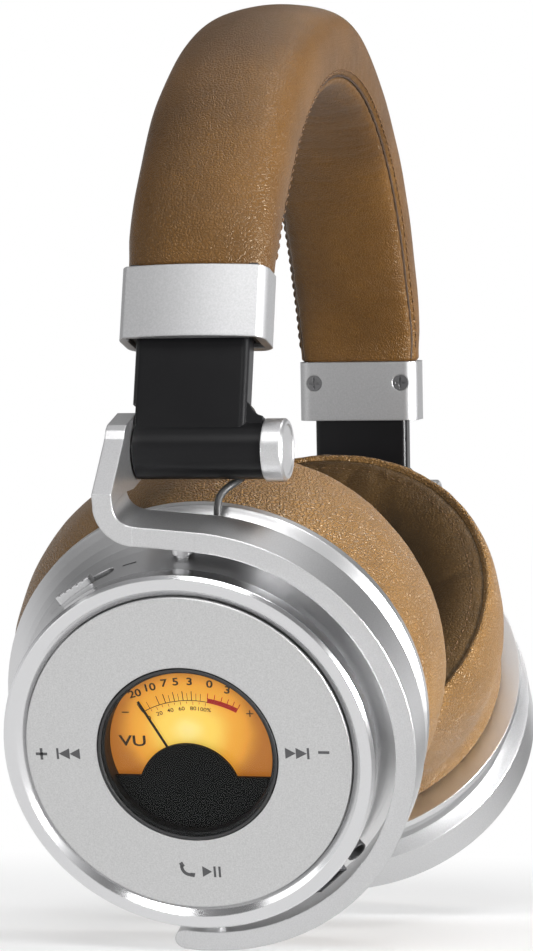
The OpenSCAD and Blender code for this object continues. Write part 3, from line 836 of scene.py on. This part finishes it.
# text, x, y
LEVELS = (("20", -10.6, 10.5), ("10", -7.3, 11.9), ("7", -4.4, 12.8), ("5", -2.1, 13.1),
          ("3", 0.75, 13.2), ("0", 4.8, 12.7), ("3", 8.3, 11.5))
PERCENT_FOOT = 19.3  # the percent ticks run inward from here
PERCENTS = (("0", -28.5), ("20", -20.9), ("40", -13.3), ("60", -5.7), ("80", 1.9), ("100%", 9.3))


def on_arc(degrees, radius):
    a = math.radians(degrees)
    return (ARC_CENTRE[0] + radius * math.sin(a), ARC_CENTRE[1] + radius * math.cos(a))


def tick(degrees, foot, tip, width):
    return bar(on_arc(degrees, foot), on_arc(degrees, tip), width)


def arc_band(inner, outer, start, end, steps=28):
    verts = [on_arc(start + (end - start) * i / steps, r)
             for i in range(steps + 1) for r in (inner, outer)]
    return verts, [(2 * i, 2 * i + 2, 2 * i + 3, 2 * i + 1) for i in range(steps)]


def dial_print():
    parts = []
    for text, x, y in LEVELS:
        a = math.atan2(x - ARC_CENTRE[0], y - ARC_CENTRE[1])
        parts.append(lettering(text, (x - 0.3, y + 0.55), size=1.62, wide=1.25,
                               turn=-a * 0.55, bold=0.022))
    parts.append(bar((-13.9, 7.0), (-12.5, 7.0), 0.26))  # minus
    parts.append(bar((11.5, 7.1), (12.9, 7.1), 0.24))    # plus
    parts.append(bar((12.2, 6.4), (12.2, 7.8), 0.24))
    parts.append(lettering("VU", (-12.3, 0.9), size=2.3, wide=1.35, turn=0, bold=0.016))
    parts.append(arc_band(19.42, 19.58, SCALE_START, RED_START))
    for i, a in enumerate(TICKS):
        length, width = (2.0, 0.17) if i in LONG_TICKS else (1.55, 0.12)
        parts.append(tick(a, TICK_FOOT, TICK_FOOT + length, width))
    for i, a in enumerate(np.linspace(-28.5, 9.5, 11)):
        length = 0.5 if i % 2 else 0.75
        parts.append(tick(a, PERCENT_FOOT, PERCENT_FOOT - length, 0.1))
    for text, a in PERCENTS:
        parts.append(lettering(text, on_arc(a, 17.85), size=0.85, wide=1.15,
                               turn=-math.radians(a) * 0.7, bold=0.015))
    return parts


def dial_red():
    ticks = [tick(a, 20.2, 21.4, 0.16) for a in RED_TICKS]
    return [arc_band(19.35, 20.35, RED_START, RED_END)] + ticks


for side in SIDES:
    for name, parts, height, material in (
        ("dial_print_", dial_print(), 0.02, "printed_dial_ink"),
        ("dial_red_", dial_red(), 0.03, "red_scale_ink"),
    ):
        ob = link(name + side, lay(parts, side, height), material, smooth=False)
        attach(ob, "cup_" + side)


# ---------------------------------------------------------------- symbols on the right plate
def handset():
    """Telephone handset: a curved grip with a block at each end"""
    x, y = -1.2, -24.1
    angles = [math.radians(a) for a in np.linspace(172, 278, 12)]
    grip = [(x + r * math.cos(a), y - 0.2 + r * math.sin(a)) for r in (1.15, 1.75) for a in angles]
    earpiece = [(-1.9, 0.35), (-1.3, 0.75), (-0.85, -0.05), (-1.45, -0.4)]
    mouthpiece = [(-0.05, -2.0), (0.1, -1.3), (0.95, -1.35), (0.75, -2.1)]
    blocks = [([(x + dx, y + dy) for dx, dy in block], [(0, 1, 2, 3)])
              for block in (earpiece, mouthpiece)]
    return [(grip, [(i, i + 1, 13 + i, 12 + i) for i in range(11)])] + blocks


PLATE_HEIGHT = 4.612
STRETCH_X, STRETCH_Y = 1.12, 1.18  # each group is enlarged about its centre
# group centre, shift, parts
SYMBOLS = (
    # at the rear: a plus, then a bar and two triangles pointing to the rear
    ((-25.7, -0.85), (-0.8, 0.6), [
        bar((-29.8, -0.9), (-27.7, -0.9), 0.5), bar((-28.75, -1.95), (-28.75, 0.15), 0.5),
        bar((-25.75, -1.8), (-25.75, 0.2), 0.42),
        triangle(-23.55, -0.8, -2.0), triangle(-21.65, -0.8, -1.9)]),
    # at the front: two triangles pointing forward and a bar, then a minus
    ((24.2, 0.4), (0.0, 0.5), [
        triangle(20.3, 0.3, 1.9), triangle(22.2, 0.3, 2.0),
        bar((24.4, -0.7), (24.4, 1.3), 0.42), bar((26.2, 0.55), (28.2, 0.55), 0.5)]),
    # at the bottom: a triangle with two bars, and the handset
    ((1.2, -24.6), (0.0, 0.1), [
        triangle(1.1, -25.1, 1.75), bar((3.35, -26.1), (3.35, -24.1), 0.42),
        bar((4.25, -26.1), (4.25, -24.1), 0.42)] + handset()),
)
symbols = []
for (group_x, group_y), (shift_x, shift_y), parts in SYMBOLS:
    for verts, faces in parts:
        symbols.append(([(group_x + shift_x + (x - group_x) * STRETCH_X,
                          group_y + shift_y + (y - group_y) * STRETCH_Y)
                         for x, y in verts], faces))
ob = link("plate_symbols_right", lay(symbols, "right", PLATE_HEIGHT), "engraved_grey", smooth=False)
attach(ob, "face_plate_right")

# ---------------------------------------------------------------- marks on the right cup's flank
# The flank's outline: Z, radius
FLANK = ((-15, 40.7), (-12.5, 39.4), (-9.5, 38.7), (-4, 38.0), (1.0, 37.5))


def on_flank(degrees, z, lift):
    """World point on the flank; degrees run from the front towards the top"""
    radius = float(np.interp(z, *zip(*FLANK))) + lift
    a = math.radians(degrees)
    return cup("right", (radius * math.cos(a), radius * math.sin(a), z))


def flank_strip(start, end, z, width, steps=10):
    verts = [on_flank(start + (end - start) * i / steps, edge, lift=0.04)
             for i in range(steps + 1) for edge in (z - width / 2, z + width / 2)]
    return verts, [(2 * i, 2 * i + 1, 2 * i + 3, 2 * i + 2) for i in range(steps)]


def flank_disc(degrees, z, radius, flank_radius=38, count=20):
    verts = []
    for i in range(count):
        a = TAU * i / count
        turn = math.degrees(radius * math.cos(a) / flank_radius)
        verts.append(on_flank(degrees + turn, z + radius * math.sin(a), lift=0.05))
    return verts, [tuple(range(count))]


for name, part, material in (
    ("switch_mark_on", flank_strip(104.5, 109.0, z=-4.9, width=0.35), "engraved_grey"),
    ("switch_mark_off", flank_strip(134.4, 137.4, z=-4.8, width=0.45), "satin_aluminium_yoke"),
    # a flat black disc, no hole cut: painted shade of the microphone hole's inside
    ("microphone_hole", flank_disc(-54.0, z=-1.6, radius=0.55), "black_matt_plastic"),
):
    attach(link(name, part, material), "cup_right")


# ---------------------------------------------------------------- floor, world, lights, camera
def floor_material():
    """Pale floor: takes shadows near the object, fades to white further out"""
    mat = Material("pale_floor")
    mat.set(Base_Color=mat.mix(mat.noise(scale=3.0), (0.9, 0.9, 0.905), (0.93, 0.93, 0.93)),
            Roughness=0.8, Specular_IOR_Level=0.05)
    distance = mat.add("ShaderNodeVectorMath", mat.position,
                       operation="LENGTH").outputs["Value"]
    fade_rate = 1.6
    far = mat.ramp(mat.math("MULTIPLY", distance, fade_rate),
                   [(0.0, 0.5), (0.2, 0.62), (0.55, 1.0)], "EASE")
    white = mat.add("ShaderNodeEmission", Strength=1.0, Color=(1, 1, 1))
    rays = mat.add("ShaderNodeLightPath").outputs
    # reflections see a glow that is darker towards -Y
    y = mat.add("ShaderNodeSeparateXYZ", mat.position).outputs[1]
    card = mat.ramp(mat.span(y, low=0.5, width=1.0),
                    [(0.12, 0.1), (0.34, 0.22), (0.47, 0.9), (1.0, 0.9)], "EASE")
    glow = mat.add("ShaderNodeEmission", Strength=1.0, Color=card)
    glow_share = 0.85
    lit = mat.mix_shader(mat.math("MULTIPLY", rays["Is Glossy Ray"], glow_share),
                         mat.shader.outputs[0], glow.outputs[0])
    mat.surface(mat.mix_shader(mat.math("MULTIPLY", far, rays["Is Camera Ray"]),
                               lit, white.outputs[0]))


def build_world():
    """White to the camera, dim to diffuse light, a banded grey sky in reflections"""
    world = bpy.data.worlds.new("studio")
    scene.world = world
    world.use_nodes = True
    sky = Nodes(world.node_tree)
    sky.tree.nodes.clear()
    output = sky.add("ShaderNodeOutputWorld")
    direction = sky.add("ShaderNodeTexCoord").outputs["Generated"]
    height = sky.add("ShaderNodeSeparateXYZ", direction).outputs[2]
    height_range = (-0.2, 1.0)  # heights of the lowest and highest bands
    level = sky.add("ShaderNodeMapRange", height, *height_range).outputs[0]
    bands = ((0.0, 1.0), (0.2, 0.95), (0.36, 0.62), (0.52, 0.16), (0.72, 0.3), (1.0, 0.8))
    banded = sky.ramp(level, [(place, (grey, grey, grey * 1.01)) for place, grey in bands])
    rays = sky.add("ShaderNodeLightPath").outputs
    reflected, diffuse, backdrop = [
        sky.add("ShaderNodeBackground", Color=colour, Strength=strength).outputs[0]
        for colour, strength in ((banded, 0.9), ((1, 1, 1), 0.1), ((1, 1, 1), 1.0))]
    unseen = sky.mix_shader(rays["Is Glossy Ray"], diffuse, reflected)
    sky.feed(output.inputs[0], sky.mix_shader(rays["Is Camera Ray"], unseen, backdrop))


def area(name, location, target, size, power, size_y=None, spread=None):
    """Area light aimed at a target, in metres and watts"""
    light = bpy.data.lights.new(name, "AREA")
    light.energy = power
    light.size = size
    if size_y:
        light.shape = "RECTANGLE"
        light.size_y = size_y
    if spread:
        light.spread = math.radians(spread)
    ob = bpy.data.objects.new(name, light)
    ob.location = location
    aim = Vector(target) - Vector(location)
    ob.rotation_euler = aim.to_track_quat("-Z", "Y").to_euler()
    scene.collection.objects.link(ob)


def build_camera():
    """Long lens, low, looking up a little at the right cup's outer face"""
    data = bpy.data.cameras.new("camera")
    camera = bpy.data.objects.new("camera", data)
    scene.collection.objects.link(camera)
    position = (-0.68852, -0.156945, 0.0518)  # metres
    heading, rise, roll = (math.radians(a) for a in (13.1, 4.0, 0.8))
    forward = vec([math.cos(heading) * math.cos(rise), math.sin(heading) * math.cos(rise),
                   math.sin(rise)])
    level = vec([math.sin(heading), -math.cos(heading), 0.0])
    up = np.cross(level, forward)
    matrix = np.eye(4)
    matrix[:3, 0] = level * math.cos(roll) + up * math.sin(roll)
    matrix[:3, 1] = up * math.cos(roll) - level * math.sin(roll)
    matrix[:3, 2] = -forward
    matrix[:3, 3] = position
    camera.matrix_world = Matrix(matrix.tolist())
    data.sensor_fit = "VERTICAL"
    data.sensor_height = 36
    data.lens = 118.73
    data.clip_start = 0.01
    scene.camera = camera


bpy.ops.mesh.primitive_plane_add(size=24, location=(0, 0, 0))
floor = bpy.context.object
floor.name = "floor"
floor_material()
floor.data.materials.append(MATERIALS["pale_floor"])

build_world()
MIDDLE = (0, 0, 0.11)
area("key", (-0.36, -0.98, 0.02), (0, -0.03, 0.04), size=0.35, power=3.6, size_y=0.3, spread=45)
area("front", (-1.05, -0.1, 1.0), (0, 0, 0.1), size=0.6, power=10, size_y=0.6)
area("fill", (-0.7, 1.1, 0.35), MIDDLE, size=0.5, power=2.5, size_y=1.0)
area("top", (0.15, -0.35, 1.2), MIDDLE, size=0.35, power=4.6)
build_camera()
scene.view_settings.view_transform = "Standard"
